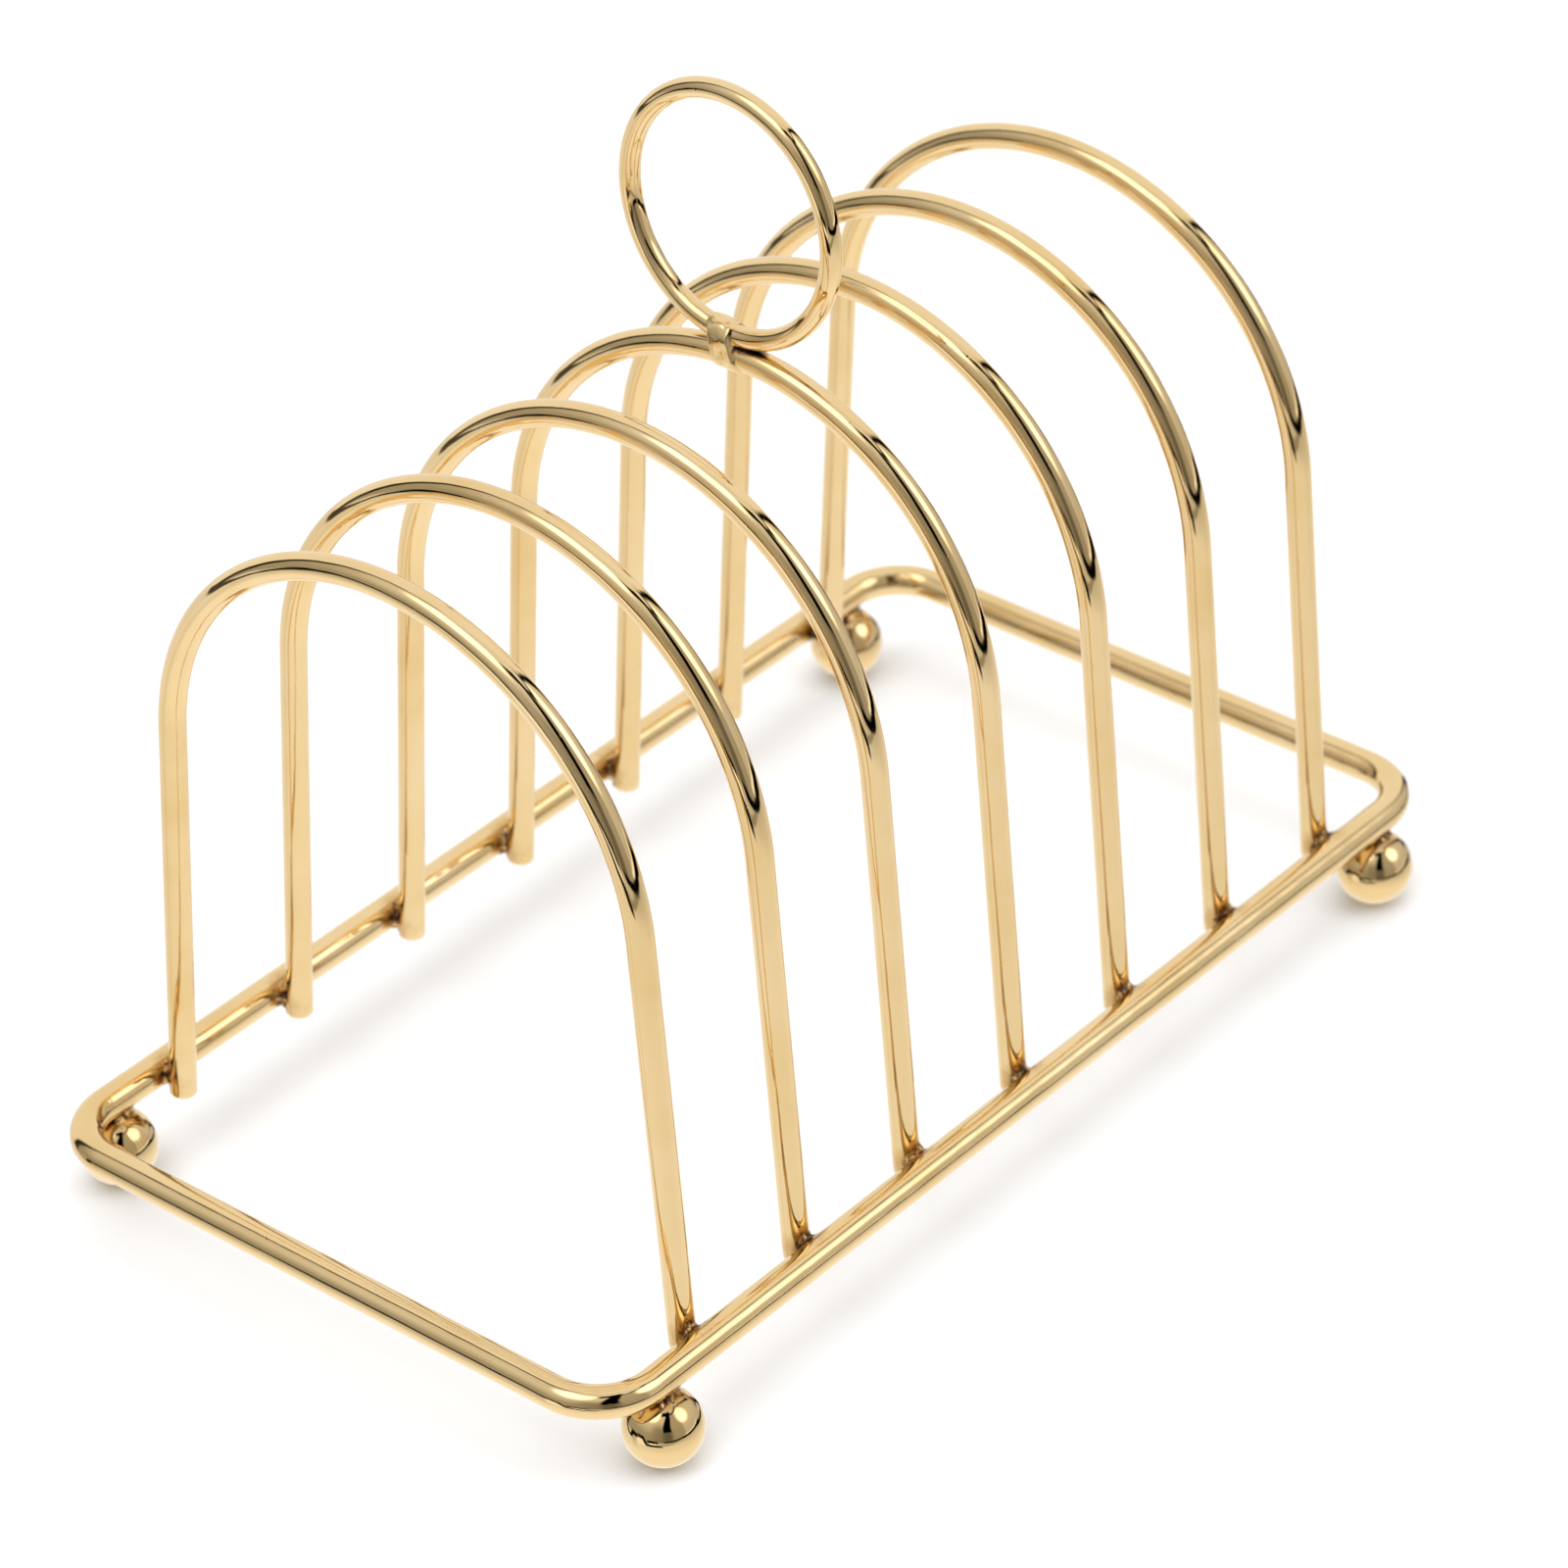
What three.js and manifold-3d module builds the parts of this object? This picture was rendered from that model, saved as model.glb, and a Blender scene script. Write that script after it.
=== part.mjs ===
// Wire toast rack: a rounded rectangular base wire on four ball feet, seven arches that stand
// inside its long rails, and a ring handle on top of the middle arch. Everything is welded.
// Millimetres. +Z is up, +X runs along the row of arches, and the origin is on the table
// under the centre of the base. The front is the -X end, and left is +Y.
import * as THREE from "three";
import { mergeVertices } from "three/addons/utils/BufferGeometryUtils.js";
import Module from "manifold-3d";

// Driving dimensions. Lengths and widths are between wire centrelines.
const BASE_LENGTH = 170;
const BASE_WIDTH = 92.4;
const BASE_CORNER_RADIUS = 8.4;
const BASE_WIRE = 4.4;

const BALL_DIAMETER = 10.4;
const BALL_FLAT_DEPTH = 0.1;
const BALL_SPACING_X = 150;

const ARCH_COUNT = 7;
const ARCH_PITCH = 22.1;
const ARCH_WIRE = 3.6;
const ARCH_TOP_RADIUS = 38.3;
const ARCH_HEIGHT = 104.5;

const HANDLE_RADIUS = 16.6;
const HANDLE_WIRE = 2.8;
const HANDLE_SIDE_SHIFT = 1.8;
const HANDLE_LEAN = THREE.MathUtils.degToRad(2);
const HANDLE_TURN = THREE.MathUtils.degToRad(-2);
const HANDLE_SINK = 0.4;

// Neighbours that touch on the real rack stand this far apart.
const TOUCH_GAP = 0.05;
const CUT_GAP = 0.12;

// The filler of a weld is a squashed ball round the point where two pieces meet. Each size is
// its length along X, Y and Z.
const LEG_WELD_SIZE = new THREE.Vector3(5.6, 3.6, 4.6);
const BALL_WELD_SIZE = new THREE.Vector3(5.4, 4.0, 2.4);
const HANDLE_WELD_SIZE = new THREE.Vector3(4.8, 3.8, 7.2);

// Facets.
const WIRE_SIDES = 12;
const CORNER_STEPS = 6;
const ARCH_STEPS = 20;
const HANDLE_SIDES = 12;
const HANDLE_STEPS = 40;
const BALL_SIDES = 20;
const BALL_RINGS = 10;
const WELD_DETAIL = 1;
const CUTTER_SIDES = 12;
const CUTTER_LENGTH = 20;
const MERGE_DISTANCE = 1e-4;

// Places that follow from the driving dimensions.
const ballRadius = BALL_DIAMETER / 2;
const ballCentreZ = ballRadius - BALL_FLAT_DEPTH;
const baseRadius = BASE_WIRE / 2;
const railY = BASE_WIDTH / 2;
const railZ = ballCentreZ + ballRadius + TOUCH_GAP + baseRadius;
const archRadius = ARCH_WIRE / 2;
const archCentreZ = ARCH_HEIGHT - ARCH_TOP_RADIUS;
const legEndZ = railZ - baseRadius;
const handleRadius = HANDLE_WIRE / 2;
const middleArch = (ARCH_COUNT + 1) / 2;

// A leg leaves the arch's round top along its tangent and passes the rail's inner side with a
// small gap. The tangent line at angle a from the horizontal radius is
// y cos(a) + (z - archCentreZ) sin(a) = ARCH_TOP_RADIUS, so a is where it clears the rail.
function legAngle() {
  const clearance = baseRadius + archRadius + TOUCH_GAP;
  const drop = archCentreZ - railZ;
  const reach = Math.hypot(railY, drop);
  return Math.acos((ARCH_TOP_RADIUS + clearance) / reach) - Math.atan2(drop, railY);
}
const legTilt = legAngle();

// Height of the leg's centreline gives its distance from the middle plane.
function legY(z) {
  return (ARCH_TOP_RADIUS - (z - archCentreZ) * Math.sin(legTilt)) / Math.cos(legTilt);
}

const gold = { metalness: 1, roughness: 0.12 };
const BASE_GOLD = { ...gold, color: 0xe0c48e };
const ARCH_GOLD = { ...gold, color: 0xe3c892 };
const HANDLE_GOLD = { ...gold, color: 0xdfc58f };
const BALL_GOLD = { ...gold, color: 0xdcc08c };
const WELD_GOLD = { ...gold, color: 0xa88a5c, roughness: 0.35 };

// A path through given points. Its sections stand at those points, so straight stretches
// stay as one long facet.
class BentWire extends THREE.Curve {
  constructor(points) {
    super();
    this.points = points;
  }

  getPoint(t) {
    const last = this.points.length - 1;
    const place = Math.min(Math.max(t, 0), 1) * last;
    const index = Math.min(Math.floor(place), last - 1);
    return this.points[index].clone().lerp(this.points[index + 1], place - index);
  }

  getPointAt(u) {
    return this.getPoint(u);
  }

  getTangentAt(u) {
    const last = this.points.length - 1;
    const index = Math.round(u * last);
    const before = this.points[Math.max(index - 1, 0)];
    const here = this.points[index];
    const after = this.points[Math.min(index + 1, last)];
    const arriving = here.clone().sub(before).normalize();
    const leaving = after.clone().sub(here).normalize();
    return arriving.add(leaving).normalize();
  }
}

function roundSection(radius) {
  const outline = Array.from({ length: WIRE_SIDES }, (_, index) => {
    const angle = (2 * Math.PI * index) / WIRE_SIDES;
    return new THREE.Vector2(radius * Math.cos(angle), radius * Math.sin(angle));
  });
  return new THREE.Shape(outline);
}

function wireGeometry(points, radius) {
  return new THREE.ExtrudeGeometry(roundSection(radius), {
    steps: points.length - 1,
    extrudePath: new BentWire(points),
  });
}

// Cuts.
const wasm = await Module();
wasm.setup();

function solidFrom(geometry) {
  const bare = geometry.clone();
  bare.deleteAttribute("normal");
  bare.deleteAttribute("uv");
  const merged = mergeVertices(bare, MERGE_DISTANCE);
  const vertProperties = merged.getAttribute("position").array;
  const triVerts = new Uint32Array(merged.index.array);
  return new wasm.Manifold(new wasm.Mesh({ numProp: 3, vertProperties, triVerts }));
}

function geometryFrom(solid) {
  const { vertProperties, triVerts } = solid.getMesh();
  const geometry = new THREE.BufferGeometry();
  geometry.setAttribute("position", new THREE.BufferAttribute(vertProperties, 3));
  geometry.setIndex(new THREE.BufferAttribute(triVerts, 1));
  geometry.computeVertexNormals();
  return geometry;
}

function cut(geometry, cutters) {
  const whole = solidFrom(geometry);
  const left = cutters.reduce((solid, cutter) => solid.subtract(solidFrom(cutter)), whole);
  return geometryFrom(left);
}

// The base wire's centreline, from the middle of the front side round the four corners and back.
function basePoints() {
  const endX = BASE_LENGTH / 2;
  const cornerX = endX - BASE_CORNER_RADIUS;
  const cornerY = railY - BASE_CORNER_RADIUS;
  const corners = [[-cornerX, cornerY], [cornerX, cornerY], [cornerX, -cornerY], [-cornerX, -cornerY]];
  const points = [new THREE.Vector3(-endX, 0, railZ)];
  corners.forEach(([centreX, centreY], corner) => {
    for (let step = 0; step <= CORNER_STEPS; step++) {
      const angle = Math.PI - (Math.PI / 2) * (corner + step / CORNER_STEPS);
      const x = centreX + BASE_CORNER_RADIUS * Math.cos(angle);
      const y = centreY + BASE_CORNER_RADIUS * Math.sin(angle);
      points.push(new THREE.Vector3(x, y, railZ));
    }
  });
  points.push(points[0]);
  return points;
}

// The base wire's ends meet on a straight stretch, so its two end faces are left out.
function baseFrame() {
  const wire = wireGeometry(basePoints(), baseRadius);
  const outside = wire.groups[1];
  const coordinates = wire.getAttribute("position").array;
  const kept = coordinates.slice(3 * outside.start, 3 * (outside.start + outside.count));
  const geometry = new THREE.BufferGeometry();
  geometry.setAttribute("position", new THREE.BufferAttribute(kept, 3));
  geometry.computeVertexNormals();
  return geometry;
}

// An arch in the plane x = 0: up the left leg, over the top and down the right leg.
function archPoints() {
  const points = [new THREE.Vector3(0, legY(legEndZ), legEndZ)];
  for (let step = 0; step <= ARCH_STEPS; step++) {
    const angle = legTilt + ((Math.PI - 2 * legTilt) * step) / ARCH_STEPS;
    const y = ARCH_TOP_RADIUS * Math.cos(angle);
    const z = archCentreZ + ARCH_TOP_RADIUS * Math.sin(angle);
    points.push(new THREE.Vector3(0, y, z));
  }
  points.push(new THREE.Vector3(0, -legY(legEndZ), legEndZ));
  return points;
}

function archWire(radius) {
  return wireGeometry(archPoints(), radius);
}

// The ring stands on edge in the plane x = 0, with the lowest point of its centreline at its
// own origin.
function handleRing(tubeRadius) {
  const ring = new THREE.TorusGeometry(HANDLE_RADIUS, tubeRadius, HANDLE_SIDES, HANDLE_STEPS);
  return ring.rotateY(Math.PI / 2).translate(0, 0, HANDLE_RADIUS);
}

// Where the ring stands on the middle arch: a little to the left, leaning and turned a little.
function handlePlace() {
  const seat = ARCH_TOP_RADIUS + archRadius + handleRadius - HANDLE_SINK;
  const centreZ = archCentreZ + Math.sqrt((seat + HANDLE_RADIUS) ** 2 - HANDLE_SIDE_SHIFT ** 2);
  const position = new THREE.Vector3(0, HANDLE_SIDE_SHIFT, centreZ - HANDLE_RADIUS);
  const rotation = new THREE.Euler(0, HANDLE_LEAN, HANDLE_TURN);
  const upright = new THREE.Vector3(1, 1, 1);
  return new THREE.Matrix4().compose(
    position,
    new THREE.Quaternion().setFromEuler(rotation),
    upright,
  );
}

// The ring has a shallow notch where it sinks into the arch.
function notchedRing(place) {
  const arch = archWire(archRadius + CUT_GAP).applyMatrix4(place.clone().invert());
  return cut(handleRing(handleRadius), [arch]);
}

// A ball whose lowest point is ground to a small flat that rests on the table.
function footBall() {
  const flatAngle = Math.acos(ballCentreZ / ballRadius);
  const profile = [new THREE.Vector2(0, 0)];
  for (let ring = 0; ring <= BALL_RINGS; ring++) {
    const angle = flatAngle + ((Math.PI - flatAngle) * ring) / BALL_RINGS;
    const across = ring === BALL_RINGS ? 0 : ballRadius * Math.sin(angle);
    profile.push(new THREE.Vector2(across, ballCentreZ - ballRadius * Math.cos(angle)));
  }
  return new THREE.LatheGeometry(profile, BALL_SIDES).rotateX(Math.PI / 2);
}

function weldLump(size) {
  return new THREE.IcosahedronGeometry(0.5, WELD_DETAIL).scale(size.x, size.y, size.z);
}

// A straight rod along Z through the origin that clears a round wire of the given radius.
function clearanceRod(radius) {
  const outside = (radius + CUT_GAP) / Math.cos(Math.PI / CUTTER_SIDES);
  const rod = new THREE.CylinderGeometry(outside, outside, CUTTER_LENGTH, CUTTER_SIDES);
  return rod.rotateX(Math.PI / 2);
}

// The weld between the right rail and a leg. Its origin is where the two meet.
function legWeld() {
  const towardsLeg = new THREE.Vector3(0, Math.cos(legTilt), -Math.sin(legTilt));
  const railCentre = towardsLeg.clone().multiplyScalar(-baseRadius);
  const legCentre = towardsLeg.clone().multiplyScalar(archRadius + TOUCH_GAP);
  const rail = clearanceRod(baseRadius).rotateY(Math.PI / 2).translate(...railCentre);
  const leg = clearanceRod(archRadius).rotateX(-legTilt).translate(...legCentre);
  return cut(weldLump(LEG_WELD_SIZE), [rail, leg]);
}

// The weld between a ball and the rail above it. Its origin is the ball's top.
function ballWeld() {
  const rail = clearanceRod(baseRadius).rotateY(Math.PI / 2);
  rail.translate(0, 0, TOUCH_GAP + baseRadius);
  const ball = new THREE.SphereGeometry(ballRadius + CUT_GAP, BALL_SIDES, BALL_RINGS);
  ball.rotateX(Math.PI / 2).translate(0, 0, -ballRadius);
  return cut(weldLump(BALL_WELD_SIZE), [rail, ball]);
}

// The weld that wraps the ring and the middle arch. Its origin is halfway up the two wires.
function handleWeld(weldPosition, place) {
  const arch = archWire(archRadius + CUT_GAP);
  const ring = handleRing(handleRadius + CUT_GAP).applyMatrix4(place);
  const toWeld = weldPosition.clone().negate();
  const cutters = [arch, ring].map((cutter) => cutter.translate(...toWeld));
  return cut(weldLump(HANDLE_WELD_SIZE), cutters);
}

// The rack.
const rack = new THREE.Group();
const sides = { left: 1, right: -1 };
const ends = { front: -1, rear: 1 };

function addPiece(name, geometry, look) {
  const piece = new THREE.Mesh(geometry, new THREE.MeshStandardMaterial(look));
  piece.name = name;
  rack.add(piece);
  return piece;
}

function addBase() {
  addPiece("base_frame", baseFrame(), BASE_GOLD);
  const ball = footBall();
  const weld = ballWeld();
  for (const [end, endSign] of Object.entries(ends)) {
    for (const [side, sideSign] of Object.entries(sides)) {
      const x = (endSign * BALL_SPACING_X) / 2;
      const y = sideSign * railY;
      addPiece(`foot_ball_${end}_${side}`, ball, BALL_GOLD).position.set(x, y, 0);
      const ballTopZ = ballCentreZ + ballRadius;
      addPiece(`weld_foot_${end}_${side}`, weld, WELD_GOLD).position.set(x, y, ballTopZ);
    }
  }
}

function addArches() {
  const arch = archWire(archRadius);
  const weld = legWeld();
  const weldY = railY - baseRadius * Math.cos(legTilt);
  const weldZ = railZ - baseRadius * Math.sin(legTilt);
  for (let number = 1; number <= ARCH_COUNT; number++) {
    const x = (number - middleArch) * ARCH_PITCH;
    addPiece(`arch_${number}`, arch, ARCH_GOLD).position.set(x, 0, 0);
    for (const [side, sideSign] of Object.entries(sides)) {
      const legWeldPiece = addPiece(`weld_arch_${number}_${side}`, weld, WELD_GOLD);
      legWeldPiece.position.set(x, sideSign * weldY, weldZ);
      legWeldPiece.rotation.z = sideSign > 0 ? Math.PI : 0;
    }
  }
}

function addHandle() {
  const place = handlePlace();
  const ring = addPiece("handle_ring", notchedRing(place), HANDLE_GOLD);
  place.decompose(ring.position, ring.quaternion, ring.scale);
  const weldRadius = ARCH_TOP_RADIUS + handleRadius - HANDLE_SINK / 2;
  const weldZ = archCentreZ + Math.sqrt(weldRadius ** 2 - HANDLE_SIDE_SHIFT ** 2);
  const weldPosition = new THREE.Vector3(0, HANDLE_SIDE_SHIFT, weldZ);
  const weld = addPiece("weld_handle", handleWeld(weldPosition, place), WELD_GOLD);
  weld.position.copy(weldPosition);
}

addBase();
addArches();
addHandle();

export default rack;
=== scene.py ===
"""The looks of a gold wire toast rack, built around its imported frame.

Every wire, ball and weld of the frame gets a smooth, finely detailed piece in its place. Units are
metres in the frame's own axes: +Z up, the row of arches along X with its front at -X, left is +Y.
"""
import math
from typing import NamedTuple

import bmesh
import bpy
import numpy as np
from mathutils import Euler, Matrix, Vector


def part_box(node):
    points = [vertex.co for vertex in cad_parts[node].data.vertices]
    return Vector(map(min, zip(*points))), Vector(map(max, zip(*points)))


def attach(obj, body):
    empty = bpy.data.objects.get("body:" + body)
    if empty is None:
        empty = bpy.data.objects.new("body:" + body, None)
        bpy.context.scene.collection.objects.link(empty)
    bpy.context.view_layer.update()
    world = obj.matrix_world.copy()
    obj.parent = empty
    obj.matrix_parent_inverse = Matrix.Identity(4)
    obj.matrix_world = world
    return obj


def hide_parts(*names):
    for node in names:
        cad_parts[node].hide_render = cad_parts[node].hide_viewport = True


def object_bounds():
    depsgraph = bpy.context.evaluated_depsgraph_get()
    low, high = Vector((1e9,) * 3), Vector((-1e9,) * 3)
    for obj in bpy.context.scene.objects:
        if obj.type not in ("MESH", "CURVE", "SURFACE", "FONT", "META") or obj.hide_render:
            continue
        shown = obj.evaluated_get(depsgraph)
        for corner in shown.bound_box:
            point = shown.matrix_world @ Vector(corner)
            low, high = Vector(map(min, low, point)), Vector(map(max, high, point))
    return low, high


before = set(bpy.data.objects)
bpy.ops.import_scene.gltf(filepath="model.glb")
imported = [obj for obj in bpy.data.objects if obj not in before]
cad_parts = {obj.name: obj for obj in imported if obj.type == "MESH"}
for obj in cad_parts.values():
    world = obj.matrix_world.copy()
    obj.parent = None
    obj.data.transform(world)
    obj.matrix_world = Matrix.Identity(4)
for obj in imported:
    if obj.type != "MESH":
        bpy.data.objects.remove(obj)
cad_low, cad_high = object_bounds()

MM = 0.001
SIDES = {"left": 1, "right": -1}

# Shape, where the boxes of the frame's nodes don't say it.
BASE_CORNER_RADIUS = 8.4 * MM
ARCH_TOP_RADIUS = 38.3 * MM
HANDLE_RADIUS = 16.6 * MM
HANDLE_WIRE_RADIUS = 1.4 * MM
HANDLE_LEAN = math.radians(2)
HANDLE_TURN = math.radians(-2)
BALL_RADIUS = 5.2 * MM
TOUCH_GAP = 0.05 * MM
LEG_END_ROUNDING = 0.35 * MM
BALL_FLAT_ROUNDING = 0.15 * MM

# Fineness of the meshes.
WIRE_SIDES = 48
STEP_LENGTH = 1.0 * MM
ARC_STEP_LENGTH = STEP_LENGTH / 2
LEAST_ARC_STEPS = 4
END_RINGS = 6
BALL_SIDES = 72
BALL_RINGS = 44
WELD_DETAIL = 5
HANDLE_WELD_DETAIL = 6
MARCH_STEPS = 70
BISECTIONS = 12


class WeldSkin(NamedTuple):
    """The size of a weld's lumps, how much they change its fillet or coat as a share of it, and the
    size and height of its crinkles."""

    lump_size: float
    unevenness: float
    crinkle_size: float
    crinkle_height: float


# Welds. A fillet is as wide as the blend length between two surfaces; where it would be thinner
# than the sink it goes under the wires' surfaces instead.
LEG_FILLET = 1.55 * MM
BALL_FILLET = 1.5 * MM
WELD_SINK = 0.06 * MM
LEG_REACH = 3.3 * MM
BALL_REACH = 2.7 * MM
HANDLE_REACH = 5.5 * MM
LEG_SKIN = WeldSkin(2.2 * MM, 0.16, 0.75 * MM, 0.022 * MM)
BALL_SKIN = WeldSkin(2.0 * MM, 0.18, 0.70 * MM, 0.030 * MM)
HANDLE_SKIN = WeldSkin(3.0 * MM, 0.2, 0.9 * MM, 0.010 * MM)
LUMP_WAVES = 14
LUMP_SPREAD = (0.7, 1.6)
SEED = 11

# The saddle weld under the ring is a band over both wires. It leans with the ring's wire, keeps its
# thickness out to the shoulder and thins from there to its edge. Two dents are given from its middle.
HANDLE_FILLET = 3.2 * MM
LEAST_FILLET = 0.05 * MM
HANDLE_COAT = 0.32 * MM
SADDLE_HALF_WIDTH = 2.05 * MM
SADDLE_SHOULDER = 0.72
SADDLE_LEAN = 0.30
SADDLE_EDGE_WAVE = 0.06
SADDLE_EDGE_DROP = 1.2
DENT_SIZE = 0.42 * MM
DENT_DEPTH = 0.30 * MM
DENT_PLACES = [(-0.7 * MM, -0.2 * MM), (-0.5 * MM, -1.2 * MM)]

# Stains that the welding left on wires and balls, and painted shade in the crevice beside the saddle
# weld, which shares their tint level.
STAIN_AND_SHADE = "tint_level"
STAIN_RADIUS = 3.4 * MM
# Painted shade: how far from the neighbouring wire the crevice beside the saddle weld is darkened, and
# how sharply the darkening ends.
CREVICE_SHADE_REACH = 0.92 * MM
CREVICE_SHADE_SHARPNESS = 6
STAIN_UNEVENNESS = 0.3
# The tint level, from weld stains and painted crevice shade, at which each change starts and is complete.
DULLED_AT, STRAW_AT, BROWN_AT, PURPLE_AT = (0.3, 1.0), (0.25, 0.7), (0.6, 0.9), (0.85, 1.0)

# Colours of the metal. The oxide colours, down to the purple, also paint the shade in the crevice beside
# the saddle weld.
GOLD = (0.83, 0.61, 0.31)
PALE_GOLD = (0.86, 0.65, 0.36)
DEEP_GOLD = (0.79, 0.56, 0.26)
STRAW_OXIDE = (0.62, 0.39, 0.15)
BROWN_OXIDE = (0.27, 0.155, 0.075)
PURPLE_OXIDE_AND_SHADE = (0.115, 0.062, 0.038)

# How fine the metal's patterns are, in features per metre. Drawing lines change more slowly along
# the wire than across it, by the stretch.
GOLD_PATCHES = 60.0
STAIN_MOTTLE = 900.0
DRAWING_LINES, LINE_STRETCH = 2600.0, 0.03
WIRE_WAVES, BALL_WAVES = 180.0, 260.0
WIRE_PITS, SADDLE_PITS = 420.0, 300.0
BALL_SCUFFS = 1500.0
BEAD_CRINKLES, BEAD_TINTS = 1700.0, 800.0
SADDLE_LUMPS = 420.0

# From where to where in a noise a pattern grows. Most of a noise lies in the noise range.
NOISE_RANGE = (0.3, 0.7)
PALE_PATCHES, DEEP_PATCHES = (0.45, 0.75), (0.5, 0.25)
SCUFF_EDGES = (0.5, 0.8)
BEAD_TINT_RANGE, BEAD_STAINS = (0.32, 0.62), (0.55, 1.0)
# How far from a spot's middle a pit rises to the surface, and soot round it fades.
WIRE_PIT_EDGES, SADDLE_PIT_EDGES = (0.0, 0.12), (0.04, 0.16)
SADDLE_SOOT_EDGES, SADDLE_SOOT = (0.15, 0.03), 0.9

# Roughness where the metal is clean, and what lines, scuffs and stains add to it.
WIRE_ROUGHNESS, LINE_ROUGHNESS, WIRE_STAIN_ROUGHNESS = 0.035, 0.03, 0.22
BALL_ROUGHNESS, SCUFF_ROUGHNESS, BALL_STAIN_ROUGHNESS = 0.04, 0.06, 0.25
BEAD_ROUGHNESS, SADDLE_ROUGHNESS = (0.14, 0.34), (0.13, 0.26)

# Strength and depth of the relief that each pattern makes.
WIRE_WAVE_RELIEF, BALL_WAVE_RELIEF = (0.06, 1.0 * MM), (0.05, 1.0 * MM)
LINE_RELIEF, SCUFF_RELIEF = (0.10, 0.05 * MM), (0.04, 0.05 * MM)
CRINKLE_RELIEF, LUMP_RELIEF = (0.35, 0.15 * MM), (0.30, 0.2 * MM)
WIRE_PIT_RELIEF, SADDLE_PIT_RELIEF = (0.15, 0.05 * MM), (0.3, 0.1 * MM)

# Camera, floor and lamp.
CAMERA_AZIMUTH = math.radians(-49.71)
CAMERA_ELEVATION = math.radians(34.29)
CAMERA_ROLL = math.radians(-1.65)
CAMERA_DISTANCE = 842.4 * MM
CAMERA_AIM = Vector((-15.0, -17.6, -15.4)) * MM
CAMERA_LENS = 153.8
SENSOR_WIDTH = 36.0
F_STOP = 38
FOCUS_OFFSET = -40 * MM
FLOOR_SIZE = 8.0
FLOOR_COLOUR = (0.93, 0.935, 0.945)
FLOOR_GRAIN = 40.0
FLOOR_GRAIN_SHADE = 0.995
LAMP_STRENGTH = 1.5
LAMP_ANGLE = math.radians(80)
LAMP_TILT = (math.radians(12), math.radians(-10), 0)
WHITE = (1.0, 1.0, 1.0)


# Sizes read from the frame's boxes.

def box_centre(node):
    low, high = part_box(node)
    return (low + high) / 2


def box_size(node):
    low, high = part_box(node)
    return high - low


arch_names = sorted(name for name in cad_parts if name.startswith("arch_"))
ball_names = sorted(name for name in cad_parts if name.startswith("foot_ball_"))
middle_arch = arch_names[len(arch_names) // 2]
base_radius = box_size("base_frame").z / 2
rail_z = box_centre("base_frame").z
rail_y = box_size("base_frame").y / 2 - base_radius
base_end_x = box_size("base_frame").x / 2 - base_radius
arch_radius = box_size(middle_arch).x / 2
arch_centre_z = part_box(middle_arch)[1].z - arch_radius - ARCH_TOP_RADIUS


def leg_angle():
    """The legs' tilt: a leg is tangent to the arch's round top and passes inside the rail."""
    clearance = base_radius + arch_radius + TOUCH_GAP
    drop = arch_centre_z - rail_z
    reach = math.hypot(rail_y, drop)
    return math.acos((ARCH_TOP_RADIUS + clearance) / reach) - math.atan2(drop, rail_y)


leg_tilt = leg_angle()
leg_end_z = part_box(middle_arch)[0].z + arch_radius * math.sin(leg_tilt)


def leg_y(z):
    return (ARCH_TOP_RADIUS - (z - arch_centre_z) * math.sin(leg_tilt)) / math.cos(leg_tilt)


def ball_centre(ball):
    middle = box_centre(ball)
    middle.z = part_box(ball)[1].z - BALL_RADIUS
    return middle


handle_low, handle_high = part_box("handle_ring")
handle_turned = Euler((0, HANDLE_LEAN, HANDLE_TURN)).to_matrix()
handle_normal = handle_turned @ Vector((1, 0, 0))
handle_centre = box_centre("handle_ring")
handle_centre.z = handle_high.z - HANDLE_WIRE_RADIUS - HANDLE_RADIUS * math.cos(HANDLE_LEAN)


# Meshes.

def unit(vectors):
    return vectors / np.linalg.norm(vectors, axis=-1, keepdims=True)


def smooth_object(name, mesh):
    for polygon in mesh.polygons:
        polygon.use_smooth = True
    piece = bpy.data.objects.new(name, mesh)
    bpy.context.scene.collection.objects.link(piece)
    return piece


def mesh_object(name, vertices, faces):
    """An object from vertices and faces, with every face of a closed shape turned outwards."""
    mesh = bpy.data.meshes.new(name)
    mesh.from_pydata([tuple(v) for v in vertices], [], faces)
    mesh.validate()
    work = bmesh.new()
    work.from_mesh(mesh)
    bmesh.ops.recalc_face_normals(work, faces=work.faces)
    work.to_mesh(mesh)
    work.free()
    return smooth_object(name, mesh)


def add_values(mesh, name, values):
    attribute = mesh.attributes.new(name, "FLOAT", "POINT")
    attribute.data.foreach_set("value", np.asarray(values, np.float32))


def add_vectors(mesh, name, values):
    attribute = mesh.attributes.new(name, "FLOAT_VECTOR", "POINT")
    attribute.data.foreach_set("vector", np.asarray(values, np.float32).ravel())


# Wires.

def with_rounded_ends(centres, tangents, radius, rounding):
    """The centres, tangents and radii of an open wire whose end faces have rounded edges."""
    turn = np.linspace(0, math.pi / 2, END_RINGS + 1)[1:]
    inset = radius - rounding * (1 - np.cos(turn))
    ahead = rounding * np.sin(turn)[:, None]
    first = centres[0] + tangents[0] * rounding
    last = centres[-1] - tangents[-1] * rounding
    start = (first - ahead * tangents[0])[::-1]
    finish = last + ahead * tangents[-1]
    inner = np.linalg.norm(centres - centres[0], axis=1) > rounding
    inner &= np.linalg.norm(centres - centres[-1], axis=1) > rounding
    middle = np.vstack([first, centres[inner], last])
    ones = np.ones((END_RINGS + 1, 1))
    tangents = np.vstack([ones * tangents[0], tangents[inner], ones * tangents[-1]])
    radii = np.concatenate([inset[::-1], np.full(len(middle), radius), inset])
    return np.vstack([start, middle, finish]), tangents, radii


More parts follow.
